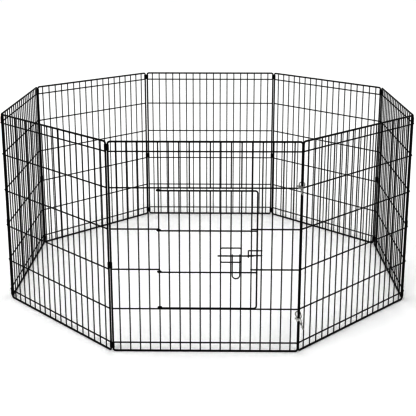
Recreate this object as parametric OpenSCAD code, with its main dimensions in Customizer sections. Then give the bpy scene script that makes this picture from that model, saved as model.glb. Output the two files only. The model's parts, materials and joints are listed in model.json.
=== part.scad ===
// Folding wire exercise pen: eight identical wire panels in a ring, hinged by sleeves at
// seven corners and clipped shut at the eighth, with a latched door in the first panel.
// Millimetres. +Z is up, and the door faces -Y.

/* [Panels] */
// Outer width of one panel
panel_w = 610; // [500:5:760]
// Outer height of every panel
panel_h = 710; // [680:5:900]
// Heights of the six cross rails, from the floor
rail_heights = [33, 152, 288, 424, 560, 677];
// Spacing of the upright wires
upright_pitch = 32.7; // [25:0.1:34]
// Inner corner rounding of a panel's frame wire, at its centre line
frame_corner_r = 8; // [6:0.5:10]

/* [Wire] */
// Frame wire diameter
frame_d = 5; // [4:0.1:5]
// Cross rail diameter
rail_d = 3.5; // [3:0.1:3.5]
// Upright diameter
upright_d = 3; // [2.5:0.1:3.2]
// How deep a rail sinks into the frame wire where it is welded
rail_sink = 0.8; // [0.6:0.1:1]
// How deep an upright sinks into a rail where it is welded
upright_sink = 0.6; // [0.4:0.1:0.8]

/* [Corner hinges] */
// Wire spacing at the odd corners, which fold inwards when the pen is put away
inward_gap = 8; // [7.5:0.1:10]
// Wire spacing at the even corners, which fold outwards, so that their rails have to clear each other
outward_gap = 10.8; // [10.8:0.1:13]
// Height of a hinge sleeve
sleeve_h = 19.4; // [12:0.2:19.6]
// Wall of a hinge sleeve
sleeve_wall = 1; // [0.8:0.1:1.4]
// Running clearance of a frame wire in its sleeve
sleeve_play = 0.15; // [0.1:0.05:0.2]
// Where the last panel's end wire stands, seen from the first panel's end wire
closing_gap = [3, 5];

/* [Door] */
// Door frame wire diameter
door_frame_d = 4; // [3.5:0.1:4]
// Height of the door's bottom wire
door_bottom = 156.3; // [156.3:0.1:158]
// Height of the door's top wire
door_top = 552; // [545:1:553]
// Heights of the door's two cross rails
door_rail_heights = [280, 420];
// How far the door's free edge laps past the opening
door_lap = 18; // [12:0.5:20]
// Rounding of the door's two free corners
door_corner_r = 8.5; // [6:0.5:12]
// Centre line radius of a hinge eye
eye_r = 5.3; // [5.3:0.1:5.4]

/* [Latch] */
// Bolt diameter
bolt_d = 3.5; // [3:0.1:3.5]
// Bolt length
bolt_l = 116.5; // [110:0.5:120]
// Height of the bolt
bolt_z = 340; // [338:1:342]
// Wire of the bracket, the handle and the keeper
latch_wire_d = 3; // [2.6:0.1:3]
// Length of the handle below the bolt
handle_drop = 77; // [60:1:90]

/* [Snap hooks] */
// Heights of the two snap hooks
snap_heights = [129, 570];
// Sideways lean of each snap hook, in degrees
snap_leans = [-15, 5];
// Forward tilt of each snap hook from upright, in degrees
snap_tilts = [45, 70];
// Wire of the hook
hook_d = 3.6; // [3:0.1:3.6]

/* [Hidden] */
$fn = 48;
PANELS = 8;
CORNERS = PANELS - 1;
SNAPS = 2;

wire_black = [0.035, 0.035, 0.04];
nickel = [0.74, 0.74, 0.72];
spring_steel = [0.55, 0.56, 0.58];

// Layers of a panel, measured outwards from the centre of its frame wire
rail_v = frame_d / 2 + rail_d / 2 - rail_sink;
upright_v = rail_v - (rail_d + upright_d) / 2 + upright_sink;
rail_face = rail_v + rail_d / 2;

// Panel layout, along the panel from its first frame side wire
span = panel_w - frame_d;
UPRIGHTS = 18;
upright_margin = (span - (UPRIGHTS - 1) * upright_pitch) / 2;
rail_overhang = 1;
upright_embed = 3.2;
function upright_u(i) = upright_margin + i * upright_pitch;

// The ring of panels. A panel runs from its start to its end, and the pen lies to its right.
corner_turn = 360 / PANELS;
function corner_gap(k) = k % 2 == 1 ? inward_gap : outward_gap;
function along(heading) = [cos(heading), sin(heading)];
side = span + (inward_gap + outward_gap) / 2;
arm_4 = [side, -side * (1 + sqrt(2))];
arm_6 = [-side / sqrt(2), -side * (1 + 1 / sqrt(2))];
closing_move = closing_gap - outward_gap * along(corner_turn / 2);
swing_4 = [arm_4[1], -arm_4[0]];
swing_6 = [arm_6[1], -arm_6[0]];
swing_det = swing_4[0] * swing_6[1] - swing_6[0] * swing_4[1];
// Two corners turn a fraction of a degree further, which draws the last end wire in
trim_4 = (closing_move[0] * swing_6[1] - swing_6[0] * closing_move[1]) / swing_det;
trim_6 = (swing_4[0] * closing_move[1] - closing_move[0] * swing_4[1]) / swing_det;
degree = 180 / PI;
function turn(k) = corner_turn + (k == 4 ? trim_4 * degree : k == 6 ? trim_6 * degree : 0);
function heading(k) = k == 1 ? 180 : heading(k - 1) - turn(k - 1);
function chord(k) = heading(k) - turn(k) / 2;
// The hooks reach further out in front than the rails do at the back, so the ring sits back
hook_reach = 37;
front_y = -(side * (1 + sqrt(2)) - hook_reach) / 2;
first_start = [span / 2, front_y];
function start(k) =
    k == 1 ? first_start : finish(k - 1) + corner_gap(k - 1) * along(chord(k - 1));
function finish(k) = start(k) + span * along(heading(k));

// Sleeves stand on the rails that hold them up
sleeve_r = frame_d / 2 + sleeve_play + sleeve_wall;
sleeve_gap = 0.5;
sleeve_floors = [
    rail_heights[0] - rail_d / 2 - sleeve_gap - sleeve_h,
    rail_heights[2] + rail_d / 2 + sleeve_gap,
    rail_heights[5] + rail_d / 2 + sleeve_gap
];

// Door opening, between two of the first panel's uprights and two of its rails
hinge_upright = 13;
shut_upright = 4;
opening_rails = [1, 4];
hinge_u = upright_u(hinge_upright);
door_edge_u = upright_u(shut_upright) - door_lap;
door_v = rail_face + door_frame_d / 2 + 0.3;
eye_v = door_v - eye_r;
eye_sweep = 275;
door_upright_v = door_v + door_frame_d / 2 + upright_d / 2 - upright_sink;
door_face = door_upright_v + upright_d / 2;
door_upright_overhang = 1.4;

// Latch, in layers in front of the door's uprights
guide_play = 0.25;
guide_d = 2.5;
bracket_v = door_face + latch_wire_d / 2 - 0.4;
// Air between the bracket's wire and the bolt, so that the handle's eyes pass the door's uprights
bolt_gap = 0.9;
bolt_v = bracket_v + latch_wire_d / 2 + bolt_gap + bolt_d / 2;
bracket_uprights = [5, 7];
bracket_heights = [317, 365];
bracket_corner_r = 5;
bolt_tip_u = 146;
bolt_taper = 8;
bolt_tip_d = 1.6;
handle_legs_u = [192, 216.4];
handle_eye_r = bolt_d / 2 + 0.2 + latch_wire_d / 2;
keeper_upright = 3;
keeper_bar_u = 165.4;
keeper_legs_z = [336.2, 352.8];
keeper_bar_v = bolt_v + bolt_d / 2 + 0.4 + latch_wire_d / 2;
keeper_corner_r = 3.5;

// Snap hook, in its own frame: z runs up the hook and the loop stands in the XZ plane
hook_end_r = 8.2;
hook_half = 4.4;
hook_tip_z = 2;
gate_r = 1.4;
gate_play = 0.2;
gate_gap = 0.3;
gate_low_z = -11.5;
channel_r = 3.2;
channel_z = [-21, -4.6];
channel_floor_z = -20;
trigger_z = -9;
trigger_travel = 6.5;
trigger_neck_r = 1;
knob_r = 2.6;
knob_x = [-14.8, -12.2];
barrel_r = 4.2;
barrel_z = [-30, -13];
swivel_r = 1.5;
swivel_head_r = 2.6;
swivel_head_z = [-26.2, -23];
swivel_collar_z = [-33.6, -30.5];
eye_wire_r = 1.5;
eye_end_r = 6.2;
eye_half = 2.5;
eye_z = -43;
eye_turn = 65;
// The loop's centre, seen from the first panel's end wire
hook_centre = [0.5, 4];

// ---- Wire shapes ----

// A round wire of length l along +X
module wire_x(l, d) {
    rotate([0, 90, 0]) cylinder(h = l, d = d);
}

// A quarter bend about the origin, from +X to +Y, whose centre line has radius r
module bend(r, d, angle = 90) {
    rotate_extrude(angle = angle) translate([r, 0]) circle(d = d);
}

// A closed rectangle of wire in the XY plane, w by h between centre lines, from the origin
module wire_rectangle(w, h, r, d) {
    for (y = [0, h]) translate([r, y, 0]) wire_x(w - 2 * r, d);
    for (x = [0, w]) translate([x, r, 0]) rotate([-90, 0, 0]) cylinder(h = h - 2 * r, d = d);
    translate([r, r, 0]) rotate(180) bend(r, d);
    translate([w - r, r, 0]) rotate(270) bend(r, d);
    translate([w - r, h - r, 0]) bend(r, d);
    translate([r, h - r, 0]) rotate(90) bend(r, d);
}

// A closed loop with round ends in the XZ plane, its ends' centres half above and below
module wire_link(r, half, d) {
    for (x = [-r, r]) translate([x, 0, -half]) cylinder(h = 2 * half, d = d);
    for (m = [0, 1]) mirror([0, 0, m]) translate([0, 0, half]) rotate([90, 0, 0]) bend(r, d, 180);
}

// A coil spring standing on the XY plane, h between the centres of its first and last turns
module coil(r, wire_r, h, turns) {
    sides = 6;
    steps = 12 * turns;
    points = [for (i = [0 : steps], j = [0 : sides - 1])
        let (a = 360 * turns * i / steps, b = 360 * j / sides, reach = r + wire_r * cos(b))
            [reach * cos(a), reach * sin(a), h * i / steps + wire_r * sin(b)]];
    walls = [for (i = [0 : steps - 1], j = [0 : sides - 1])
        let (next = (j + 1) % sides, low = i * sides, high = low + sides)
            each [[low + j, high + j, high + next], [low + j, high + next, low + next]]];
    ends = [[for (j = [0 : sides - 1]) j], [for (j = [sides - 1 : -1 : 0]) steps * sides + j]];
    polyhedron(points = points, faces = concat(walls, ends), convexity = 2 * turns);
}

// ---- Placing ----

// Puts children, drawn with x along a panel and y outwards, on panel k
module on_panel(k) {
    translate([start(k)[0], start(k)[1], 0]) rotate(heading(k)) children();
}

// Puts children, drawn in the snap hook's own frame, on the closing corner
module on_snap(s) {
    translate([first_start[0] + hook_centre[0], first_start[1] + hook_centre[1], snap_heights[s - 1]])
        rotate([-snap_tilts[s - 1], 0, 0]) rotate([0, snap_leans[s - 1], 0]) children();
}

// ---- Panels ----

module panel_frame(k) {
    r = frame_d / 2;
    color(wire_black) on_panel(k) translate([0, 0, r]) rotate([90, 0, 0])
        wire_rectangle(span, panel_h - frame_d, frame_corner_r, frame_d);
}

// One upright of the panel's own plane from height low to height high
module upright(i, low, high) {
    translate([upright_u(i), upright_v, low]) cylinder(h = high - low, d = upright_d);
}

module panel_uprights(k) {
    low = upright_embed;
    high = panel_h - upright_embed;
    sill = rail_heights[opening_rails[0]] + rail_overhang;
    head = rail_heights[opening_rails[1]] - rail_overhang;
    color(wire_black) on_panel(k) for (i = [0 : UPRIGHTS - 1]) {
        if (k == 1 && i > shut_upright && i < hinge_upright) {
            upright(i, low, sill);
            upright(i, head, high);
        } else {
            upright(i, low, high);
        }
    }
}

// One cross rail between two places along the panel
module rail(from, to, z) {
    translate([from, rail_v, z]) wire_x(to - from, rail_d);
}

module panel_rails(k) {
    color(wire_black) on_panel(k) for (n = [0 : len(rail_heights) - 1]) {
        if (k == 1 && n > opening_rails[0] && n < opening_rails[1]) {
            rail(-rail_overhang, upright_u(shut_upright) + upright_d / 2, rail_heights[n]);
            rail(hinge_u - upright_d / 2, span + rail_overhang, rail_heights[n]);
        } else {
            rail(-rail_overhang, span + rail_overhang, rail_heights[n]);
        }
    }
}

// ---- Corner hinges ----

// The outline of a sleeve round two wires, gap apart along +X
module sleeve_outline(gap) {
    for (x = [0, gap]) translate([x, 0]) circle(r = sleeve_r);
    translate([0, -sleeve_r]) square([gap, 2 * sleeve_r]);
}

module corner_sleeves(k) {
    gap = corner_gap(k);
    bore_r = frame_d / 2 + sleeve_play;
    color(wire_black) for (z = sleeve_floors)
        translate([finish(k)[0], finish(k)[1], z]) rotate(chord(k)) difference() {
            linear_extrude(sleeve_h) sleeve_outline(gap);
            for (x = [0, gap]) translate([x, 0, -1]) cylinder(h = sleeve_h + 2, r = bore_r);
        }
}

// ---- Door ----

// A wire's end bent round the hinge upright, starting from the wire's own line
module hinge_eye(z, d) {
    translate([hinge_u, eye_v, z]) rotate(90 - eye_sweep) bend(eye_r, d, eye_sweep);
}

module door_frame() {
    d = door_frame_d;
    r = door_corner_r;
    color(wire_black) on_panel(1) {
        for (z = [door_bottom, door_top]) {
            translate([door_edge_u + r, door_v, z]) wire_x(hinge_u - door_edge_u - r, d);
            hinge_eye(z, d);
        }
        translate([door_edge_u, door_v, door_bottom + r])
            cylinder(h = door_top - door_bottom - 2 * r, d = d);
        translate([door_edge_u + r, door_v, door_bottom + r]) rotate([90, 0, 0]) rotate(180) bend(r, d);
        translate([door_edge_u + r, door_v, door_top - r]) rotate([90, 0, 0]) rotate(90) bend(r, d);
    }
}

module door_rails() {
    color(wire_black) on_panel(1) for (z = door_rail_heights) {
        translate([door_edge_u, door_v, z]) wire_x(hinge_u - door_edge_u, rail_d);
        hinge_eye(z, rail_d);
    }
}

module door_uprights() {
    low = door_bottom - door_upright_overhang;
    high = door_top + door_upright_overhang;
    color(wire_black) on_panel(1) for (i = [shut_upright + 1 : hinge_upright - 1])
        translate([upright_u(i), door_upright_v, low]) cylinder(h = high - low, d = upright_d);
}

// ---- Latch ----

module latch_bracket() {
    first_u = upright_u(bracket_uprights[0]);
    w = upright_u(bracket_uprights[1]) - first_u;
    h = bracket_heights[1] - bracket_heights[0];
    guide_r = bolt_d / 2 + guide_play + guide_d / 2;
    color(wire_black) on_panel(1) {
        translate([first_u, bracket_v, bracket_heights[0]]) rotate([90, 0, 0])
            wire_rectangle(w, h, bracket_corner_r, latch_wire_d);
        for (u = [first_u, first_u + w])
            translate([u, bolt_v, bolt_z]) rotate([0, 90, 0]) bend(guide_r, guide_d, 360);
    }
}

module latch_bolt() {
    color(wire_black) on_panel(1) translate([bolt_tip_u, bolt_v, bolt_z]) rotate([0, 90, 0]) {
        cylinder(h = bolt_taper, d1 = bolt_tip_d, d2 = bolt_d);
        translate([0, 0, bolt_taper]) cylinder(h = bolt_l - bolt_taper, d = bolt_d);
    }
}

module latch_handle() {
    r = (handle_legs_u[1] - handle_legs_u[0]) / 2;
    d = latch_wire_d;
    leg_top = bolt_z - handle_eye_r;
    leg_low = bolt_z - handle_drop + r;
    color(wire_black) on_panel(1) {
        for (u = handle_legs_u) {
            translate([u, bolt_v, leg_low]) cylinder(h = leg_top - leg_low, d = d);
            translate([u, bolt_v, bolt_z]) rotate([0, 90, 0]) bend(handle_eye_r, d, 360);
        }
        translate([handle_legs_u[0] + r, bolt_v, leg_low]) rotate([90, 0, 0]) rotate(180) bend(r, d, 180);
    }
}

// Two legs welded across two uprights, turned outwards and joined by a bar in front of the bolt
module latch_keeper() {
    d = latch_wire_d;
    r = keeper_corner_r;
    leg_v = upright_v + upright_d / 2 + d / 2 - 0.3;
    leg_from = upright_u(keeper_upright) - upright_d / 2;
    low = keeper_legs_z[0];
    high = keeper_legs_z[1];
    color(wire_black) on_panel(1) {
        for (z = keeper_legs_z) {
            translate([leg_from, leg_v, z]) wire_x(keeper_bar_u - r - leg_from, d);
            translate([keeper_bar_u - r, leg_v + r, z]) rotate(270) bend(r, d);
            translate([keeper_bar_u, leg_v + r, z]) rotate([-90, 0, 0])
                cylinder(h = keeper_bar_v - leg_v - 2 * r, d = d);
        }
        translate([keeper_bar_u, keeper_bar_v, low + r]) cylinder(h = high - low - 2 * r, d = d);
        translate([keeper_bar_u, keeper_bar_v - r, high - r]) rotate([90, 0, 90]) bend(r, d);
        translate([keeper_bar_u, keeper_bar_v - r, low + r]) rotate([90, 0, 90]) rotate(-90) bend(r, d);
    }
}

// ---- Snap hooks ----

module snap_hook(s) {
    web_t = 3.2;
    bore_r = gate_r + gate_play;
    slot_w = 2 * trigger_neck_r + 0.6;
    slot_high = trigger_z + trigger_neck_r + 0.5;
    slot_low = trigger_z - trigger_travel - trigger_neck_r - 0.5;
    color(nickel) on_snap(s) difference() {
        union() {
            translate([0, 0, hook_half]) rotate([90, 0, 0]) bend(hook_end_r, hook_d, 180);
            translate([0, 0, -hook_half]) rotate([90, 0, 0]) rotate(180) bend(hook_end_r, hook_d, 180);
            translate([hook_end_r, 0, -hook_half]) cylinder(h = 2 * hook_half, d = hook_d);
            translate([-hook_end_r, 0, hook_tip_z]) cylinder(h = hook_half - hook_tip_z, d = hook_d);
            translate([-hook_end_r, 0, channel_z[0]])
                cylinder(h = channel_z[1] - channel_z[0], r = channel_r);
            translate([-hook_end_r, -web_t / 2, channel_floor_z])
                cube([hook_end_r, web_t, barrel_z[1] - channel_floor_z]);
            translate([0, 0, barrel_z[0]]) cylinder(h = barrel_z[1] - barrel_z[0], r = barrel_r);
        }
        translate([-hook_end_r, 0, channel_floor_z])
            cylinder(h = hook_tip_z - channel_floor_z - 0.01, r = bore_r);
        translate([-hook_end_r - 2 * channel_r, -slot_w / 2, slot_low])
            cube([2 * channel_r, slot_w, slot_high - slot_low]);
        translate([0, 0, barrel_z[0] - 1])
            cylinder(h = swivel_head_z[1] - barrel_z[0] + 1, r = swivel_r + 0.15);
        translate([0, 0, swivel_head_z[0] - 0.3])
            cylinder(h = swivel_head_z[1] - swivel_head_z[0] + 0.6, r = swivel_head_r + 0.2);
    }
}

module snap_trigger(s) {
    color(nickel) on_snap(s) {
        translate([-hook_end_r, 0, gate_low_z])
            cylinder(h = hook_tip_z - gate_gap - gate_low_z, r = gate_r);
        translate([knob_x[0], 0, trigger_z]) wire_x(knob_x[1] - knob_x[0], 2 * knob_r);
        translate([knob_x[1], 0, trigger_z]) wire_x(-hook_end_r - knob_x[1], 2 * trigger_neck_r);
    }
}

module snap_spring(s) {
    coil_r = 1.05;
    coil_wire_r = 0.2;
    low = channel_floor_z + 2 * coil_wire_r;
    high = gate_low_z - 2 * coil_wire_r;
    color(spring_steel) on_snap(s) translate([-hook_end_r, 0, low])
        coil(coil_r, coil_wire_r, high - low, 6);
}

module snap_eye(s) {
    color(nickel) on_snap(s) rotate(eye_turn) {
        translate([0, 0, swivel_head_z[0]])
            cylinder(h = swivel_head_z[1] - swivel_head_z[0], r = swivel_head_r);
        translate([0, 0, swivel_collar_z[1]])
            cylinder(h = swivel_head_z[0] - swivel_collar_z[1], r = swivel_r);
        translate([0, 0, swivel_collar_z[0]])
            cylinder(h = swivel_collar_z[1] - swivel_collar_z[0], r = 2 * swivel_r);
        translate([0, 0, eye_z]) wire_link(eye_end_r, eye_half, 2 * eye_wire_r);
    }
}

// ---- Nodes ----

for (k = [1 : PANELS]) {
    panel_frame(k);
    panel_uprights(k);
    panel_rails(k);
}
for (k = [1 : CORNERS])
    corner_sleeves(k);
door_frame();
door_rails();
door_uprights();
latch_bracket();
latch_bolt();
latch_handle();
latch_keeper();
for (s = [1 : SNAPS]) {
    snap_hook(s);
    snap_trigger(s);
    snap_spring(s);
    snap_eye(s);
}
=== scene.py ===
"""The looks of a folding wire pet playpen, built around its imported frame.

Coated steel wire with weld nuggets at every crossing, rolled hinge sleeves, a wire door with a slide
bolt, and two nickel-plated snap hooks. All sizes are in metres, in the frame's own axes.
"""

import json
import math
import random

import bmesh
import bpy
import numpy as np
from mathutils import Matrix, Vector


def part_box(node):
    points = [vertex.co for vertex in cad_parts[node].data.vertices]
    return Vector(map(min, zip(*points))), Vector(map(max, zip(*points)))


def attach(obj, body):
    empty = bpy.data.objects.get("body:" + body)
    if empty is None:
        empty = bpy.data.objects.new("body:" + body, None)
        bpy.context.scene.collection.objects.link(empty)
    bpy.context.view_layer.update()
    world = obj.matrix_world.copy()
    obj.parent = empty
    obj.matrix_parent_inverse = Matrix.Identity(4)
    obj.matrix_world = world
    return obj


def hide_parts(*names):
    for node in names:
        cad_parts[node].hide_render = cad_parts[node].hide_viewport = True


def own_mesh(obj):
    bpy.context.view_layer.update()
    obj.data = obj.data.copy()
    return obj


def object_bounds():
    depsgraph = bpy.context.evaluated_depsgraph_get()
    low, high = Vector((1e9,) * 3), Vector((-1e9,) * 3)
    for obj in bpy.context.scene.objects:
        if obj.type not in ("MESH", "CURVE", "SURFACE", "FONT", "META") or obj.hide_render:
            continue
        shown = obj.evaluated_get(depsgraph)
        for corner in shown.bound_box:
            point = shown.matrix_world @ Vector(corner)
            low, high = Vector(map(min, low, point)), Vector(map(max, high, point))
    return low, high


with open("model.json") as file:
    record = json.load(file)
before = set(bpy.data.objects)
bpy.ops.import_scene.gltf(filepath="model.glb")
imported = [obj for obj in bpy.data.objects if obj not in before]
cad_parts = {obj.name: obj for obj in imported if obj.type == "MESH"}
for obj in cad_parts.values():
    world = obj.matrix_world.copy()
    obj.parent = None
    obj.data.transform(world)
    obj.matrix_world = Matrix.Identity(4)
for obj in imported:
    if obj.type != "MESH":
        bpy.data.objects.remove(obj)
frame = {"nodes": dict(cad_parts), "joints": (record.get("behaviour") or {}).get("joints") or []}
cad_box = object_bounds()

MM = 0.001
PANELS = 8
CORNERS = PANELS - 1
SNAPS = 2

# How the camera stands: in front of the door panel, a little right of centre, looking down
CAMERA_SIDE = 0.0386
CAMERA_AHEAD = 2.521
CAMERA_HEIGHT = 1.2827
CAMERA_DOWN = math.radians(13.968)
CAMERA_LEFT = math.radians(0.673)
CAMERA_LENS = 72.46
CAMERA_SHIFT = -0.12
# Thin dark wires on white keep their weight only in a darker display curve
DISPLAY_GAMMA = 0.42

# Studio: a white surround, a paper floor and one soft lamp high on the left
SKY_STRENGTH = 1.08
FLOOR_HALF = 40.0
KEY_PLACE = (-2.5, -3.5, 4.0)
KEY_TARGET = (0, 0, 0.3)
KEY_SIZE = 3.0
KEY_POWER = 60

# Wire sizes and bends that the frame's boxes don't give
FRAME_WIRE_R = 2.5 * MM
FRAME_CORNER_R = 8 * MM
DOOR_WIRE_R = 2 * MM
DOOR_CORNER_R = 8.5 * MM
EYE_R = 5.3 * MM
EYE_SWEEP = math.radians(275)
LATCH_WIRE_R = 1.5 * MM
GUIDE_WIRE_R = 1.25 * MM
BRACKET_CORNER_R = 5 * MM
KEEPER_CORNER_R = 3.5 * MM
HANDLE_EYE_R = 3.45 * MM
# Where a handle's leg starts, below its eye's centre line
LEG_GAP = 0.3 * MM
BOLT_TAPER = 8 * MM
BOLT_TIP_R = 0.8 * MM
BOLT_RIM = 0.5 * MM
SLEEVE_THICKNESS = 1 * MM
SLEEVE_PLAY = 0.15 * MM
# How far the sleeve's sheet is pinched in, midway between its two wires
SLEEVE_WAIST = 0.9 * MM
# How much the sheet's edges are softened, and half the width of its seam
SLEEVE_SOFT = 0.3 * MM
SLEEVE_SEAM = 0.25 * MM

# Half sizes of the weld beads: along the first wire, across it, and through both
GRILLE_BEAD = (2.5 * MM, 2.7 * MM, 1.0 * MM)
RAIL_END_BEAD = (2.3 * MM, 2.9 * MM, 1.1 * MM)
UPRIGHT_END_BEAD = (2.3 * MM, 2.0 * MM, 0.9 * MM)
DOOR_BEAD = (2.4 * MM, 2.6 * MM, 1.0 * MM)
DOOR_EDGE_BEAD = (2.4 * MM, 2.2 * MM, 1.4 * MM)
BEAD_SIDES = 8
BEAD_LEVELS = 5
BEAD_UNEVEN = (0.86, 1.12)
BEAD_SINK = 0.3 * MM
RAIL_END_INSET = 0.9 * MM
# Wire ends nearer than this to a frame wire are welded to it
WELD_REACH = 10 * MM
# How far apart two wires may run, along, up and across, and still count as crossing
CROSS_ALONG = 1 * MM
CROSS_UP = 1.5 * MM
CROSS_APART = 0.5 * MM

# How finely things are cut
WIRE_SIDES = 16
ARC_STEP = math.radians(11.25)
FLANK_STEPS = 7
ROLL_STEPS = 16
SMOOTH_ANGLE = math.radians(40)
# A wire's domed end, in radii: where its shoulder is, how wide, and where its tip is
DOME_SHOULDER = 0.25
DOME_WIDTH = 0.72
DOME_TIP = 0.33


# ---- Camera ----

def make_camera():
    """A camera at the front, made the scene's own."""
    data = bpy.data.cameras.new("camera")
    camera = bpy.data.objects.new("camera", data)
    bpy.context.scene.collection.objects.link(camera)
    bpy.context.scene.camera = camera
    low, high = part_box("panel_1_frame")
    front = (low.y + high.y) / 2
    camera.location = (CAMERA_SIDE, front - CAMERA_AHEAD, CAMERA_HEIGHT)
    camera.rotation_euler = (math.pi / 2 - CAMERA_DOWN, 0, CAMERA_LEFT)
    data.lens = CAMERA_LENS
    data.shift_y = CAMERA_SHIFT
    data.clip_end = 200


make_camera()


# ---- Materials ----

class Finish:
    """A procedural material: its node tree, its Principled shader and the coordinates of the metal."""

    def __init__(self, name, metallic=0.0, roughness=0.4, specular=0.5):
        self.material = bpy.data.materials.new(name)
        self.material.use_nodes = True
        self.nodes = self.material.node_tree.nodes
        self.links = self.material.node_tree.links
        self.shader = self.nodes["Principled BSDF"]
        self.shader.inputs["Metallic"].default_value = metallic
        self.shader.inputs["Roughness"].default_value = roughness
        self.shader.inputs["Specular IOR Level"].default_value = specular
        self.place = self.nodes.new("ShaderNodeTexCoord").outputs["Object"]

    def noise(self, scale, detail=3.0, stretch=(1, 1, 1)):
        """Fractal noise whose blotches are about 1 / scale metres across."""
        mapping = self.nodes.new("ShaderNodeMapping")
        mapping.inputs["Scale"].default_value = stretch
        self.links.new(self.place, mapping.inputs["Vector"])
        node = self.nodes.new("ShaderNodeTexNoise")
        node.inputs["Scale"].default_value = scale
        node.inputs["Detail"].default_value = detail
        self.links.new(mapping.outputs["Vector"], node.inputs["Vector"])
        return node.outputs["Fac"]

    def ramp(self, value, stops):
        """Colours, or grey levels, blended along a value between the stops' places."""
        node = self.nodes.new("ShaderNodeValToRGB")
        elements = node.color_ramp.elements
        while len(elements) < len(stops):
            elements.new(0.5)
        for element, (at, colour) in zip(elements, stops):
            level = colour if isinstance(colour, tuple) else (colour,) * 3
            element.position = at
            element.color = (*level, 1)
        self.links.new(value, node.inputs["Fac"])
        return node.outputs["Color"]

    def mix(self, share, first, second):
        """First where share is 0 and second where it is 1."""
        node = self.nodes.new("ShaderNodeMix")
        node.data_type = "RGBA"
        self.links.new(share, node.inputs["Factor"])
        self.links.new(first, node.inputs["A"])
        self.links.new(second, node.inputs["B"])
        return node.outputs["Result"]

    def set(self, socket, value):
        self.links.new(value, self.shader.inputs[socket])

    def bump(self, height, distance, strength=0.5):
        node = self.nodes.new("ShaderNodeBump")
        node.inputs["Distance"].default_value = distance
        node.inputs["Strength"].default_value = strength
        self.links.new(height, node.inputs["Height"])
        self.links.new(node.outputs["Normal"], self.shader.inputs["Normal"])


def coat(name, dark, light, roughness, peel):
    """Black stoved coat over steel: faint blotches of shade and gloss, and a fine orange peel."""
    f = Finish(name, roughness=roughness, specular=0.32)
    bluish = (light, light, light * 1.08)
    f.set("Base Color", f.ramp(f.noise(60), [(0.35, dark), (0.7, bluish)]))
    f.set("Roughness", f.ramp(f.noise(220), [(0.3, roughness - 0.07), (0.75, roughness + 0.1)]))
    f.bump(f.noise(900, 2.0), peel)
    return f


def rubbed_coat():
    """The latch's coat, with bright steel showing in streaks where wire slides on wire."""
    f = Finish("latch_coat", roughness=0.4, specular=0.35)
    black = f.ramp(f.noise(80), [(0.35, 0.005), (0.7, (0.012, 0.012, 0.013))])
    steel = f.ramp(f.noise(300), [(0.3, 0.1), (0.7, (0.2, 0.2, 0.21))])
    streaks = f.noise(140, 4.0, (1, 3, 3))
    worn = f.ramp(streaks, [(0.73, 0.0), (0.78, 1.0)])
    f.set("Base Color", f.mix(worn, black, steel))
    f.set("Metallic", f.ramp(streaks, [(0.73, 0.0), (0.78, 0.9)]))
    f.set("Roughness", f.ramp(f.noise(500), [(0.3, 0.3), (0.7, 0.5)]))
    f.bump(f.noise(1100, 2.0), 0.00006)
    return f


def nickel(name, roughness, pits):
    """Nickel plate over a casting: grey, slightly clouded, with shallow casting pits."""
    f = Finish(name, metallic=1.0, roughness=roughness)
    f.set("Base Color", f.ramp(f.noise(150), [(0.3, (0.42, 0.42, 0.41)), (0.7, (0.62, 0.62, 0.61))]))
    f.set("Roughness", f.ramp(f.noise(420), [(0.3, roughness - 0.06), (0.75, roughness + 0.14)]))
    f.bump(f.noise(1500, 3.0), pits)
    return f


def spring_steel():
    f = Finish("spring_steel", metallic=1.0, roughness=0.3)
    f.set("Base Color", f.ramp(f.noise(2000), [(0.3, (0.36, 0.37, 0.39)), (0.7, (0.55, 0.56, 0.58))]))
    f.set("Roughness", f.ramp(f.noise(3000), [(0.3, 0.22), (0.7, 0.4)]))
    f.bump(f.noise(4000, 2.0), 0.00002)
    return f


FRAME_COAT = coat("frame_coat", 0.004, 0.009, 0.42, 0.00008)
GRILLE_COAT = coat("grille_coat", 0.004, 0.010, 0.46, 0.00007)
WELD_COAT = coat("weld_coat", 0.003, 0.008, 0.6, 0.00020)
SLEEVE_COAT = coat("sleeve_coat", 0.004, 0.009, 0.5, 0.00012)
LATCH_COAT = rubbed_coat()
CAST_NICKEL = nickel("cast_nickel", 0.3, 0.00010)
TURNED_NICKEL = nickel("turned_nickel", 0.22, 0.00004)
SPRING_STEEL = spring_steel()


# ---- Shapes ----

class Shell:
    """The vertices and faces of one piece, as they are collected."""

    def __init__(self):
        self.verts = []
        self.faces = []

    def ring(self, centre, across, up, radius, sides):
        """One round of vertices, and the index of its first."""
        first = len(self.verts)
        for j in range(sides):
            a = 2 * math.pi * j / sides
            self.verts.append(centre + (across * math.cos(a) + up * math.sin(a)) * radius)
        return first

    def join(self, low, high, sides):
        """Walls between two rounds of vertices."""
        for j in range(sides):
            n = (j + 1) % sides
            self.faces.append((low + j, low + n, high + n, high + j))

    def fan(self, first, sides, tip, outward):
        """Closes a round of vertices with a point."""
        self.verts.append(tip)
        top = len(self.verts) - 1
        for j in range(sides):
            n = (j + 1) % sides
            self.faces.append((first + j, first + n, top) if outward else (first + n, first + j, top))

    def piece(self, name, finish, body, replaced=(), slot=None):
        """The finished object, riding on its body."""
        mesh = bpy.data.meshes.new(name)
        mesh.from_pydata([tuple(v) for v in self.verts], [], self.faces)
        mesh.update()
        mesh.shade_smooth()
        mesh.set_sharp_from_angle(angle=SMOOTH_ANGLE)
        mesh.materials.append(finish.material)
        obj = bpy.data.objects.new(name, mesh)
        bpy.context.scene.collection.objects.link(obj)
        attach(obj, body)
        if replaced:
            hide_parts(*replaced)
        return obj


def arc(centre, x_axis, y_axis, radius, start, sweep):
    """Points along an arc from one angle, in the plane of the two axes."""
    steps = max(2, math.ceil(abs(sweep) / ARC_STEP))
    angles = [start + sweep * i / steps for i in range(steps + 1)]
    return [centre + (x_axis * math.cos(a) + y_axis * math.sin(a)) * radius for a in angles]


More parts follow.
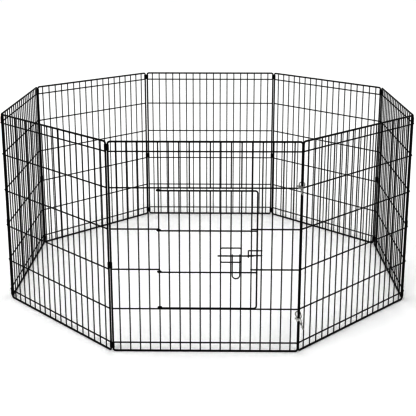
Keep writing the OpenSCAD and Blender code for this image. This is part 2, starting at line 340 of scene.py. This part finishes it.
def directions(points, closed):
    """The way the path runs at each of its points."""
    n = len(points)
    ways = []
    for i in range(n):
        before = points[i - 1] if closed or i > 0 else points[i]
        after = points[(i + 1) % n] if closed or i < n - 1 else points[i]
        ways.append((after - before).normalized())
    return ways


def wire(shell, points, radius, closed=False, sides=WIRE_SIDES):
    """Round wire along points. An open wire has slightly domed, coated ends."""
    ways = directions(points, closed)
    radii = list(radius) if hasattr(radius, "__len__") else [radius] * len(points)
    helper = Vector((0, 0, 1)) if abs(ways[0].z) < 0.9 else Vector((1, 0, 0))
    across = ways[0].cross(helper).normalized()
    rings = []
    for point, way, r in zip(points, ways, radii):
        across = (across - way * across.dot(way)).normalized()
        rings.append((point, across, way.cross(across), way, r))

    def shoulder(ring, end):
        point, side, up, way, r = ring
        return shell.ring(point + way * end * DOME_SHOULDER * r, side, up, DOME_WIDTH * r, sides)

    chain = [] if closed else [shoulder(rings[0], -1)]
    chain += [shell.ring(point, side, up, r, sides) for point, side, up, _, r in rings]
    if not closed:
        chain.append(shoulder(rings[-1], 1))
    for low, high in zip(chain, chain[1:]):
        shell.join(low, high, sides)
    if closed:
        shell.join(chain[-1], chain[0], sides)
        return
    for (point, _, _, way, r), first, end in ((rings[0], chain[0], -1), (rings[-1], chain[-1], 1)):
        shell.fan(first, sides, point + way * end * DOME_TIP * r, end > 0)


def rounded_loop(corner, x_axis, y_axis, width, height, radius):
    """A rectangle's outline with round corners, from one of its corners."""
    points = []
    for x, y, start in [(width - radius, radius, -90), (width - radius, height - radius, 0),
                        (radius, height - radius, 90), (radius, radius, 180)]:
        centre = corner + x_axis * x + y_axis * y
        points += arc(centre, x_axis, y_axis, radius, math.radians(start), math.pi / 2)
    return points


# ---- Places, from the frame ----

JOINTS = {j["name"]: j for j in frame["joints"]}
RIGHT = Vector((1, 0, 0))
FORWARD = Vector((0, 1, 0))
UP = Vector((0, 0, 1))


def joint_place(name):
    return Vector(JOINTS[name]["pos_m"])


def solids(node):
    """The vertex coordinates of each separate solid of a CAD node."""
    copy = bmesh.new()
    copy.from_mesh(frame["nodes"][node].data)
    bmesh.ops.remove_doubles(copy, verts=copy.verts, dist=1e-6)
    copy.verts.ensure_lookup_table()
    left = set(range(len(copy.verts)))
    found = []
    while left:
        stack = [left.pop()]
        island = []
        while stack:
            index = stack.pop()
            island.append(index)
            for edge in copy.verts[index].link_edges:
                other = edge.other_vert(copy.verts[index]).index
                if other in left:
                    left.remove(other)
                    stack.append(other)
        found.append(np.array([copy.verts[i].co[:] for i in island]))
    copy.free()
    return found


def straight_wires(node):
    """(one end, other end, radius) of each straight wire of a CAD node, lowest first."""
    wires = []
    for points in solids(node):
        centre = (points.max(0) + points.min(0)) / 2
        way = np.linalg.svd(points - points.mean(0))[2][0]
        along = (points - centre) @ way
        off = np.linalg.norm(points - centre - np.outer(along, way), axis=1)
        ends = [Vector(centre + way * along.min()), Vector(centre + way * along.max())]
        wires.append((*ends, float(off.max())))
    return sorted(wires, key=lambda w: (round(min(w[0].z, w[1].z), 4), w[0].x, w[0].y))


PEN_MIDDLE = (cad_box[0] + cad_box[1]) / 2
FRAME_LOW, FRAME_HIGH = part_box("panel_1_frame")
RAILS_LOW, RAILS_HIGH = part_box("panel_1_rails")
SPAN = FRAME_HIGH.x - FRAME_LOW.x - 2 * FRAME_WIRE_R
PANEL_TOP = FRAME_HIGH.z
# How far the rails stand out of the frame wire's plane
RAIL_OUT = (FRAME_LOW.y + FRAME_HIGH.y - RAILS_LOW.y - RAILS_HIGH.y) / 2


class Panel:
    """Where one panel stands: its first end wire, the way it runs and its outward face."""

    def __init__(self, k):
        self.rails = straight_wires(f"panel_{k}_rails")
        self.uprights = straight_wires(f"panel_{k}_uprights")
        first, last, _ = max(self.rails, key=lambda w: (w[1] - w[0]).length)
        middle = (first + last) / 2
        self.way = (last - first).normalized()
        self.out = UP.cross(self.way)
        # Seen from above, a panel runs with the pen on its right
        if self.out.dot(middle - PEN_MIDDLE) < 0:
            self.way, self.out = -self.way, -self.out
        self.start = middle - self.out * RAIL_OUT - self.way * SPAN / 2
        self.start.z = 0

    def at(self, u, v, z):
        return self.start + self.way * u + self.out * v + UP * z


PANEL = {k: Panel(k) for k in range(1, PANELS + 1)}


# ---- Panels ----

random.seed(8)


def nugget(shell, centre, along, out, size):
    """The squeezed-out metal of a spot weld between two crossing wires: a low, uneven pillow."""
    length, width, depth = size
    across = out.cross(along)
    sides = BEAD_SIDES
    first = []
    uneven = [random.uniform(*BEAD_UNEVEN) for _ in range(sides)]
    for i in range(1, BEAD_LEVELS):
        a = math.pi * i / BEAD_LEVELS
        start = len(shell.verts)
        for j in range(sides):
            b = 2 * math.pi * j / sides
            reach = math.sin(a) * uneven[j]
            spot = along * math.cos(b) * reach * length + across * math.sin(b) * reach * width
            shell.verts.append(centre + spot - out * math.cos(a) * depth)
        first.append(start)
    for low, high in zip(first, first[1:]):
        shell.join(low, high, sides)
    shell.fan(first[0], sides, centre - out * depth, False)
    shell.fan(first[-1], sides, centre + out * depth, True)


def crossing(rail, post):
    """The middle of the weld between a level wire and an upright one, or None if they don't meet."""
    a, b, rail_r = rail
    low, high = sorted((post[0], post[1]), key=lambda p: p.z)
    way = (b - a).normalized()
    along = (low - a).dot(way)
    if not -CROSS_ALONG < along < (b - a).length + CROSS_ALONG:
        return None
    if not low.z - CROSS_UP < a.z < high.z + CROSS_UP:
        return None
    on_rail = a + way * along
    on_post = Vector((low.x, low.y, a.z))
    gap = on_rail - on_post
    if gap.length > rail_r + post[2] + CROSS_APART:
        return None
    return on_post + gap * (post[2] / (post[2] + rail_r))


def make_panel(k):
    panel = PANEL[k]
    body = f"panel_{k}"
    inner = PANEL_TOP - 2 * FRAME_WIRE_R
    loop = rounded_loop(panel.at(0, 0, FRAME_WIRE_R), panel.way, UP, SPAN, inner, FRAME_CORNER_R)
    frame_wire = Shell()
    wire(frame_wire, loop, FRAME_WIRE_R, closed=True)
    frame_wire.piece(f"{body}_frame_wire", FRAME_COAT, body, [f"{body}_frame"], "frame_wire")

    uprights = Shell()
    for low, high, r in panel.uprights:
        wire(uprights, [low, high], r)
    uprights.piece(f"{body}_upright_wires", GRILLE_COAT, body, [f"{body}_uprights"], "grille_wire")

    rails = Shell()
    for low, high, r in panel.rails:
        wire(rails, [low, high], r)
    rails.piece(f"{body}_rail_wires", GRILLE_COAT, body, [f"{body}_rails"], "grille_wire")

    welds = Shell()
    for rail in panel.rails:
        for post in panel.uprights:
            spot = crossing(rail, post)
            if spot:
                nugget(welds, spot, panel.way, panel.out, GRILLE_BEAD)
        for u, inward in ((0, RAIL_END_INSET), (SPAN, -RAIL_END_INSET)):
            spot = panel.at(u, FRAME_WIRE_R - BEAD_SINK, rail[0].z)
            if min((rail[0] - spot).length, (rail[1] - spot).length) < WELD_REACH:
                nugget(welds, spot + panel.way * inward, panel.way, panel.out, RAIL_END_BEAD)
    for post in panel.uprights:
        for end, z in ((post[0], 0), (post[1], PANEL_TOP)):
            if abs(end.z - z) < WELD_REACH:
                rim = 2 * FRAME_WIRE_R if z == 0 else PANEL_TOP - 2 * FRAME_WIRE_R
                spot = Vector((end.x, end.y, rim))
                nugget(welds, spot, panel.way, UP, UPRIGHT_END_BEAD)
    welds.piece(f"{body}_welds", WELD_COAT, body, slot="grille_wire")


for k in range(1, PANELS + 1):
    make_panel(k)


# ---- Corner sleeves ----

def rolled_strip(shell, path, ways_out, low, high, thickness):
    """Sheet rolled along a path: its section is a thin upright strip with softened edges."""
    half = thickness / 2
    inner = half - SLEEVE_SOFT
    foot, head = low + SLEEVE_SOFT, high - SLEEVE_SOFT
    section = [(-half, foot), (-inner, low), (inner, low), (half, foot),
               (half, head), (inner, high), (-inner, high), (-half, head)]
    chain = []
    for point, out in zip(path, ways_out):
        chain.append(len(shell.verts))
        for t, z in section:
            shell.verts.append(point + out * t + UP * z)
    sides = len(section)
    for a, b in zip(chain, chain[1:]):
        shell.join(a, b, sides)
    shell.faces.append(tuple(range(chain[0], chain[0] + sides))[::-1])
    shell.faces.append(tuple(range(chain[-1], chain[-1] + sides)))


def sleeve_outline(gap, radius, waist):
    """The sleeve's sheet, seen from above: (x, y, outward x, outward y), open at a seam."""
    def flank(x, side):
        dip = waist * (1 - math.cos(2 * math.pi * x / gap)) / 2
        slope = waist * math.pi / gap * math.sin(2 * math.pi * x / gap)
        length = math.hypot(1, slope)
        return x, side * (radius - dip), slope / length, side / length

    def roll(x, start):
        angles = [start + math.pi * i / ROLL_STEPS for i in range(ROLL_STEPS + 1)]
        return [(x + radius * math.cos(a), radius * math.sin(a), math.cos(a), math.sin(a)) for a in angles]

    steps = FLANK_STEPS
    half = gap / 2 - SLEEVE_SEAM
    points = [flank(gap / 2 + SLEEVE_SEAM + half * i / steps, -1) for i in range(steps)]
    points += roll(gap, -math.pi / 2)
    points += [flank(gap * (1 - i / (2 * steps)), 1) for i in range(1, 2 * steps)]
    points += roll(0, math.pi / 2)
    points += [flank(half * i / steps, -1) for i in range(1, steps + 1)]
    return points


def make_sleeves(k):
    """Three strips rolled round both end wires and pinched between them, seam towards the pen."""
    node = f"corner_{k}_sleeves"
    near = PANEL[k].at(SPAN, 0, 0)
    across = PANEL[k + 1].start - near
    gap = across.length
    across.normalize()
    outward = UP.cross(across)
    inside = FRAME_WIRE_R + SLEEVE_PLAY
    outline = sleeve_outline(gap, inside + SLEEVE_THICKNESS / 2, SLEEVE_WAIST)
    shell = Shell()
    path = [near + across * x + outward * y for x, y, _, _ in outline]
    outs = [across * ox + outward * oy for _, _, ox, oy in outline]
    for points in solids(node):
        rolled_strip(shell, path, outs, points[:, 2].min(), points[:, 2].max(), SLEEVE_THICKNESS)
    shell.piece(f"corner_{k}_rolled_sleeves", SLEEVE_COAT, f"panel_{k + 1}", [node], "sleeve_sheet")


for k in range(1, CORNERS + 1):
    make_sleeves(k)


# ---- Door ----

def hinge_eye(post, plane_y, z):
    """From the eye's open end, round the hinge upright, to where it meets the door's plane."""
    centre = Vector((post.x, plane_y + EYE_R, z))
    return arc(centre, -RIGHT, -FORWARD, EYE_R, math.pi / 2 - EYE_SWEEP, EYE_SWEEP)


def make_door():
    low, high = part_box("door_frame")
    post = joint_place("door_hinge")
    r = DOOR_WIRE_R
    plane_y = low.y + r
    edge_x = high.x - r
    bottom, top = low.z + r, high.z - r
    corner = Vector((edge_x - DOOR_CORNER_R, plane_y, bottom + DOOR_CORNER_R))
    path = hinge_eye(post, plane_y, bottom)
    path += arc(corner, RIGHT, -UP, DOOR_CORNER_R, math.pi / 2, -math.pi / 2)
    corner = Vector((edge_x - DOOR_CORNER_R, plane_y, top - DOOR_CORNER_R))
    path += arc(corner, RIGHT, UP, DOOR_CORNER_R, 0, math.pi / 2)
    path += hinge_eye(post, plane_y, top)[::-1]
    shell = Shell()
    wire(shell, path, r)
    shell.piece("door_frame_wire", FRAME_COAT, "door", ["door_frame"], "frame_wire")

    shell = Shell()
    level_rails = []
    for points in solids("door_rails"):
        z = (points[:, 2].min() + points[:, 2].max()) / 2
        rail_r = (points[:, 2].max() - points[:, 2].min()) / 2
        end = Vector((points[:, 0].max(), plane_y, z))
        wire(shell, [*hinge_eye(post, plane_y, z), end], rail_r)
        level_rails.append((Vector((post.x, plane_y, z)), end, rail_r))
    shell.piece("door_rail_wires", GRILLE_COAT, "door", ["door_rails"], "grille_wire")

    shell = Shell()
    posts = straight_wires("door_uprights")
    for a, b, post_r in posts:
        wire(shell, [a, b], post_r)
    shell.piece("door_upright_wires", GRILLE_COAT, "door", ["door_uprights"], "grille_wire")

    shell = Shell()
    levels = [(Vector((post.x, plane_y, z)), Vector((edge_x, plane_y, z)), r) for z in (bottom, top)]
    for rail in levels + level_rails:
        for upright in posts:
            spot = crossing(rail, upright)
            if spot:
                nugget(shell, spot, RIGHT, -FORWARD, DOOR_BEAD)
    for _, end, rail_r in level_rails:
        spot = Vector((edge_x - 0.8 * r, plane_y, end.z))
        nugget(shell, spot, UP, RIGHT, DOOR_EDGE_BEAD)
    shell.piece("door_welds", WELD_COAT, "door", slot="grille_wire")


make_door()


# ---- Latch ----

def bolt_axis():
    low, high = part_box("latch_bolt")
    return (low.y + high.y) / 2, (low.z + high.z) / 2


def make_bracket():
    """A wire rectangle welded across the door's uprights, with a ring on each side for the bolt."""
    low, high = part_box("latch_bracket")
    bolt_y, bolt_z = bolt_axis()
    r = LATCH_WIRE_R
    y = high.y - r
    corner = Vector((low.x + r, y, low.z + r))
    width, height = high.x - low.x - 2 * r, high.z - low.z - 2 * r
    shell = Shell()
    loop = rounded_loop(corner, RIGHT, UP, width, height, BRACKET_CORNER_R)
    wire(shell, loop, r, closed=True)
    guide_r = bolt_y - low.y - GUIDE_WIRE_R
    for x in (corner.x, corner.x + width):
        centre = Vector((x, bolt_y, bolt_z))
        ring = arc(centre, FORWARD, UP, guide_r, 0, 2 * math.pi)[:-1]
        wire(shell, ring, GUIDE_WIRE_R, closed=True)
    shell.piece("latch_bracket_wire", LATCH_COAT, "door", ["latch_bracket"], "latch_wire")


def make_bolt():
    """A round bolt with a ground taper at its tip."""
    low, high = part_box("latch_bolt")
    bolt_y, bolt_z = bolt_axis()
    r = (high.z - low.z) / 2
    shoulder = high.x - BOLT_TAPER
    stations = [(low.x, r * 0.8), (low.x + BOLT_RIM, r), (shoulder, r)]
    for t in (0.2, 0.4, 0.6, 0.8):
        stations.append((shoulder + BOLT_TAPER * t, r + (BOLT_TIP_R - r) * t ** 1.3))
    stations += [(high.x - 0.3 * MM, BOLT_TIP_R), (high.x - 0.05 * MM, BOLT_TIP_R * 0.6)]
    shell = Shell()
    wire(shell, [Vector((x, bolt_y, bolt_z)) for x, _ in stations], [s for _, s in stations])
    shell.piece("latch_bolt_rod", LATCH_COAT, "latch_bolt", ["latch_bolt"], "latch_wire")


def make_handle():
    """One wire: an eye round the bolt, a leg, the round end, the other leg and its eye."""
    low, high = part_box("latch_handle")
    bolt_y, bolt_z = bolt_axis()
    r = LATCH_WIRE_R
    left, right = low.x + r, high.x - r
    bend = (right - left) / 2
    bottom = low.z + r + bend
    shell = Shell()
    centre = Vector((left + bend, bolt_y, bottom))
    leg_top = bolt_z - HANDLE_EYE_R - LEG_GAP
    path = [Vector((left, bolt_y, leg_top))]
    path += arc(centre, RIGHT, UP, bend, math.pi, math.pi)
    path += [Vector((right, bolt_y, leg_top))]
    wire(shell, path, r)
    for x in (left, right):
        centre = Vector((x, bolt_y, bolt_z))
        ring = arc(centre, FORWARD, UP, HANDLE_EYE_R, 0, 2 * math.pi)[:-1]
        wire(shell, ring, r, closed=True)
    shell.piece("latch_handle_wire", LATCH_COAT, "latch_handle", ["latch_handle"], "latch_wire")


def make_keeper():
    """Two legs welded across two uprights, turned out and joined by a bar in front of the bolt."""
    low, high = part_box("latch_keeper")
    r = LATCH_WIRE_R
    leg_y = high.y - r
    bar_y = low.y + r
    bar_x = low.x + r
    bottom, top = low.z + r, high.z - r
    bend = KEEPER_CORNER_R
    quarter = math.pi / 2
    path = [Vector((high.x, leg_y, bottom))]
    path += arc(Vector((bar_x + bend, leg_y - bend, bottom)), -RIGHT, FORWARD, bend, quarter, -quarter)
    path += arc(Vector((bar_x, bar_y + bend, bottom + bend)), -FORWARD, -UP, bend, quarter, -quarter)
    path += arc(Vector((bar_x, bar_y + bend, top - bend)), -FORWARD, UP, bend, 0, quarter)
    path += arc(Vector((bar_x + bend, leg_y - bend, top)), -RIGHT, FORWARD, bend, 0, quarter)
    path += [Vector((high.x, leg_y, top))]
    shell = Shell()
    wire(shell, path, r)
    shell.piece("latch_keeper_wire", LATCH_COAT, "panel_1", ["latch_keeper"], "latch_wire")


make_bracket()
make_bolt()
make_handle()
make_keeper()


# ---- Snap hooks ----

# All in the hook's own frame, where RIGHT, FORWARD and UP are its x, y and z. The hook runs up
# along z, and its loop stands in the plane of x and z.
HOOK_END_R = 8.2 * MM
HOOK_HALF = 4.4 * MM
HOOK_WIRE_R = 1.8 * MM
HOOK_TIP_Z = 2 * MM
GATE_R = 1.4 * MM
GATE_BORE_R = 1.6 * MM
GATE_Z = (-11.5 * MM, 1.7 * MM)
CHANNEL_R = 3.2 * MM
CHANNEL_Z = (-21 * MM, -4.6 * MM)
CHANNEL_FLOOR_Z = -20 * MM
TRIGGER_Z = -9 * MM
TRIGGER_TRAVEL = 6.5 * MM
NECK_R = 1 * MM
KNOB_R = 2.6 * MM
# How far out from the hook's middle the knob starts and ends
KNOB_OUT = (12.2 * MM, 14.8 * MM)
KNOB_GRIP = 0.18 * MM
RIBS_Z = (-18 * MM, -16.5 * MM, -15 * MM)
RIB_R = 1.5 * MM
# Air round the pins that turn or slide in the casting
PIN_PLAY = 0.3 * MM
# How much the rims of the turned shapes are rounded off
CHANNEL_RIM = 0.6 * MM
WEB_RIM = 0.5 * MM
BARREL_RIM = 0.8 * MM
PIN_RIM = 0.5 * MM
BARREL_R = 4.2 * MM
BARREL_Z = (-30 * MM, -13 * MM)
PIVOT_R = 1.5 * MM
PIVOT_HEAD_R = 2.6 * MM
PIVOT_HEAD_Z = (-26.2 * MM, -23 * MM)
COLLAR_Z = (-33.6 * MM, -30.5 * MM)
COLLAR_R = 3 * MM
COLLAR_RIM_R = 2.7 * MM
EYE_Z = -43 * MM
EYE_WIRE_R = 1.5 * MM
EYE_END_R = 6.2 * MM
EYE_HALF = 2.5 * MM
EYE_TURN = math.radians(65)
SPRING_R = 1.05 * MM
SPRING_WIRE_R = 0.2 * MM
SPRING_TURNS = 6
SPRING_STEPS = 16 * SPRING_TURNS
SPRING_SIDES = 8
CASTING_VOXEL = 0.4 * MM


def snap_frame(s):
    """The place and axes of a snap hook, whose loop is centred on its swivel joint."""
    joint = JOINTS[f"snap_{s}_eye_swivel"]
    up = Vector(joint["axis"]).normalized()
    side = up.cross(RIGHT).normalized()
    axes = Matrix((side.cross(up), side, up)).transposed()
    return Matrix.Translation(joint["pos_m"]) @ axes.to_4x4()


def turned(shell, profile, foot=Vector((0, 0, 0)), axis=UP, sides=24, grip=0.0):
    """A turned shape from (distance along the axis, radius) pairs. Its rim is notched as deep as grip."""
    across = axis.cross(FORWARD).normalized()
    up = axis.cross(across)
    rim = 0.9 * max(r for _, r in profile)
    chain = []
    for along, radius in profile:
        chain.append(len(shell.verts))
        for j in range(sides):
            a = 2 * math.pi * j / sides
            reach = radius - (grip if j % 2 and radius > rim else 0)
            shell.verts.append(foot + axis * along + (across * math.cos(a) + up * math.sin(a)) * reach)
    for low, high in zip(chain, chain[1:]):
        shell.join(low, high, sides)
    shell.fan(chain[0], sides, foot + axis * profile[0][0], False)
    shell.fan(chain[-1], sides, foot + axis * profile[-1][0], True)


def rounded_rod(low, high, radius, soft):
    """The profile of a rod whose rims are rounded off."""
    return [(low, radius - soft), (low + 0.3 * soft, radius - 0.3 * soft), (low + soft, radius),
            (high - soft, radius), (high - 0.3 * soft, radius - 0.3 * soft), (high, radius - soft)]


def link_path(end_r, half, height):
    """A closed loop with round ends, standing in the plane of x and z."""
    path = arc(Vector((0, 0, height + half)), RIGHT, UP, end_r, 0, math.pi)
    return path + arc(Vector((0, 0, height - half)), RIGHT, UP, end_r, math.pi, math.pi)


def loose(name, shell):
    """A plain object of a shell, not yet a piece."""
    mesh = bpy.data.meshes.new(name)
    mesh.from_pydata([tuple(v) for v in shell.verts], [], shell.faces)
    mesh.update()
    obj = bpy.data.objects.new(name, mesh)
    bpy.context.scene.collection.objects.link(obj)
    return obj


def casting(name, body_shell, cut_shell):
    """A shell's overlapping shapes melted into one skin with filleted joins, less its bores."""
    melt = loose(name, body_shell)
    cutter = loose(f"{name}_cutter", cut_shell)
    remesh = melt.modifiers.new("remesh", "REMESH")
    remesh.mode = "VOXEL"
    remesh.voxel_size = CASTING_VOXEL
    smooth = melt.modifiers.new("smooth", "SMOOTH")
    smooth.factor = 0.5
    smooth.iterations = 5
    bores = melt.modifiers.new("bores", "BOOLEAN")
    bores.operation = "DIFFERENCE"
    bores.object = cutter
    graph = bpy.context.evaluated_depsgraph_get()
    skin = bpy.data.meshes.new_from_object(melt.evaluated_get(graph))
    shell = Shell()
    shell.verts = [v.co.copy() for v in skin.vertices]
    shell.faces = [tuple(p.vertices) for p in skin.polygons]
    for obj in (melt, cutter):
        mesh = obj.data
        bpy.data.objects.remove(obj)
        bpy.data.meshes.remove(mesh)
    bpy.data.meshes.remove(skin)
    return shell


def placed(shell, place):
    """The same shell, moved from the hook's own frame to the pen's."""
    shell.verts = [place @ v for v in shell.verts]
    return shell


def hook_casting():
    """The hook's open loop, the channel for its gate, the web and the swivel's barrel."""
    body = Shell()
    tip = Vector((-HOOK_END_R, 0, HOOK_TIP_Z))
    path = [tip]
    path += arc(Vector((0, 0, HOOK_HALF)), -RIGHT, UP, HOOK_END_R, 0, math.pi)
    path += arc(Vector((0, 0, -HOOK_HALF)), RIGHT, -UP, HOOK_END_R, 0, math.pi)
    wire(body, path, HOOK_WIRE_R)
    channel = Vector((-HOOK_END_R, 0, 0))
    turned(body, rounded_rod(*CHANNEL_Z, CHANNEL_R, CHANNEL_RIM), channel)
    web = Vector((-HOOK_END_R / 2, 0, 0))
    turned(body, rounded_rod(CHANNEL_FLOOR_Z, BARREL_Z[1], HOOK_WIRE_R, WEB_RIM), web)
    for z in RIBS_Z:
        wire(body, [Vector((-HOOK_END_R, 0, z)), Vector((0, 0, z))], RIB_R)
    turned(body, rounded_rod(*BARREL_Z, BARREL_R, BARREL_RIM))

    cut = Shell()
    turned(cut, [(CHANNEL_FLOOR_Z, GATE_BORE_R), (HOOK_TIP_Z, GATE_BORE_R)], channel)
    # The slot that the knob's neck slides in, cut through the channel's outer wall
    slot_low = TRIGGER_Z - TRIGGER_TRAVEL - NECK_R - 0.5 * MM
    slot_high = TRIGGER_Z + NECK_R + 0.5 * MM
    outer, inner = -HOOK_END_R - 2 * CHANNEL_R, -HOOK_END_R
    half = NECK_R + PIN_PLAY
    first = len(cut.verts)
    for z in (slot_low, slot_high):
        for x, y in ((outer, -half), (inner, -half), (inner, half), (outer, half)):
            cut.verts.append(Vector((x, y, z)))
    cut.join(first, first + 4, 4)
    cut.faces += [(first + 3, first + 2, first + 1, first), (first + 4, first + 5, first + 6, first + 7)]
    # The bore for the swivel's pin, and the wider chamber for its head
    pin_r, head_r = PIVOT_R + 0.15 * MM, PIVOT_HEAD_R + 0.2 * MM
    head_low, head_high = PIVOT_HEAD_Z[0] - PIN_PLAY, PIVOT_HEAD_Z[1] + PIN_PLAY
    turned(cut, [(BARREL_Z[0] - MM, pin_r), (head_low, pin_r), (head_low, head_r), (head_high, head_r)])
    return casting("hook_casting", body, cut)


def make_hook(s, place):
    hook = placed(hook_casting(), place)
    hook.piece(f"snap_{s}_hook_casting", CAST_NICKEL, f"snap_{s}", [f"snap_{s}_hook"], "snap_metal")


def make_trigger(s, place):
    """The gate's pin with its domed nose, the neck through the slot, and the knob under the thumb."""
    shell = Shell()
    channel = Vector((-HOOK_END_R, 0, 0))
    turned(shell, rounded_rod(*GATE_Z, GATE_R, PIN_RIM), channel)
    level = Vector((0, 0, TRIGGER_Z))
    inner, outer = KNOB_OUT
    turned(shell, [(HOOK_END_R, NECK_R), (inner, NECK_R)], level, -RIGHT, 16)
    dished_end = [(outer, KNOB_R - 0.7 * MM), (outer - 0.2 * MM, KNOB_R - 1.3 * MM)]
    knob = rounded_rod(inner, outer, KNOB_R, PIN_RIM)[:-1] + dished_end
    turned(shell, knob, level, -RIGHT, 32, KNOB_GRIP)
    placed(shell, place).piece(
        f"snap_{s}_gate_and_knob", TURNED_NICKEL, f"snap_{s}_trigger", [f"snap_{s}_trigger"], "snap_metal")


def make_spring(s, place):
    """A round-wire coil under the gate."""
    low = CHANNEL_FLOOR_Z + 2 * SPRING_WIRE_R
    high = GATE_Z[0] - 2 * SPRING_WIRE_R
    path = []
    for i in range(SPRING_STEPS + 1):
        a = 2 * math.pi * SPRING_TURNS * i / SPRING_STEPS
        height = low + (high - low) * i / SPRING_STEPS
        path.append(Vector((-HOOK_END_R + SPRING_R * math.cos(a), SPRING_R * math.sin(a), height)))
    shell = Shell()
    wire(shell, path, SPRING_WIRE_R, sides=SPRING_SIDES)
    spring = placed(shell, place).piece(
        f"snap_{s}_coil", SPRING_STEEL, f"snap_{s}", [f"snap_{s}_spring"], "spring_steel")
    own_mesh(spring)


def make_eye(s, place):
    """The swivel's head, pin and collar, and the loop that hangs from them."""
    low, high = COLLAR_Z
    head_low, head_high = PIVOT_HEAD_Z
    collar = [(low, PIVOT_R), (low + 0.6 * MM, COLLAR_RIM_R), (low + 1.4 * MM, COLLAR_R),
              (high - 0.5 * MM, COLLAR_R), (high, COLLAR_RIM_R), (high, PIVOT_R)]
    pin = [(head_low, PIVOT_R), (head_low, PIVOT_HEAD_R), (head_high, PIVOT_HEAD_R)]
    pivot = Shell()
    turned(pivot, collar + pin)
    wire(pivot, link_path(EYE_END_R, EYE_HALF, EYE_Z), EYE_WIRE_R, closed=True)
    turn = Matrix.Rotation(EYE_TURN, 4, "Z")
    placed(pivot, place @ turn).piece(
        f"snap_{s}_swivel_loop", CAST_NICKEL, f"snap_{s}_eye", [f"snap_{s}_eye"], "snap_metal")


for s in range(1, SNAPS + 1):
    place = snap_frame(s)
    make_hook(s, place)
    make_trigger(s, place)
    make_spring(s, place)
    make_eye(s, place)


# ---- Studio ----

def make_floor():
    half = FLOOR_HALF
    mesh = bpy.data.meshes.new("floor")
    corners = [(-half, -half, 0), (half, -half, 0), (half, half, 0), (-half, half, 0)]
    mesh.from_pydata(corners, [], [(0, 1, 2, 3)])
    floor = bpy.data.objects.new("floor", mesh)
    bpy.context.scene.collection.objects.link(floor)
    paper = Finish("floor_paper", roughness=0.9, specular=0.1)
    paper.set("Base Color", paper.ramp(paper.noise(3), [(0.3, 0.93), (0.7, 0.95)]))
    mesh.materials.append(paper.material)


def make_light(name, place, target, size, power):
    data = bpy.data.lights.new(name, "AREA")
    data.shape = "DISK"
    data.size = size
    data.energy = power
    light = bpy.data.objects.new(name, data)
    bpy.context.scene.collection.objects.link(light)
    light.location = place
    way = Vector(target) - Vector(place)
    light.rotation_euler = way.to_track_quat("-Z", "Y").to_euler()


def make_studio():
    world = bpy.data.worlds.new("studio")
    bpy.context.scene.world = world
    world.use_nodes = True
    sky = world.node_tree.nodes["Background"]
    sky.inputs["Color"].default_value = (1, 1, 1, 1)
    sky.inputs["Strength"].default_value = SKY_STRENGTH
    make_floor()
    make_light("key", KEY_PLACE, KEY_TARGET, KEY_SIZE, KEY_POWER)
    bpy.context.scene.view_settings.view_transform = "Standard"
    bpy.context.scene.view_settings.gamma = DISPLAY_GAMMA


make_studio()
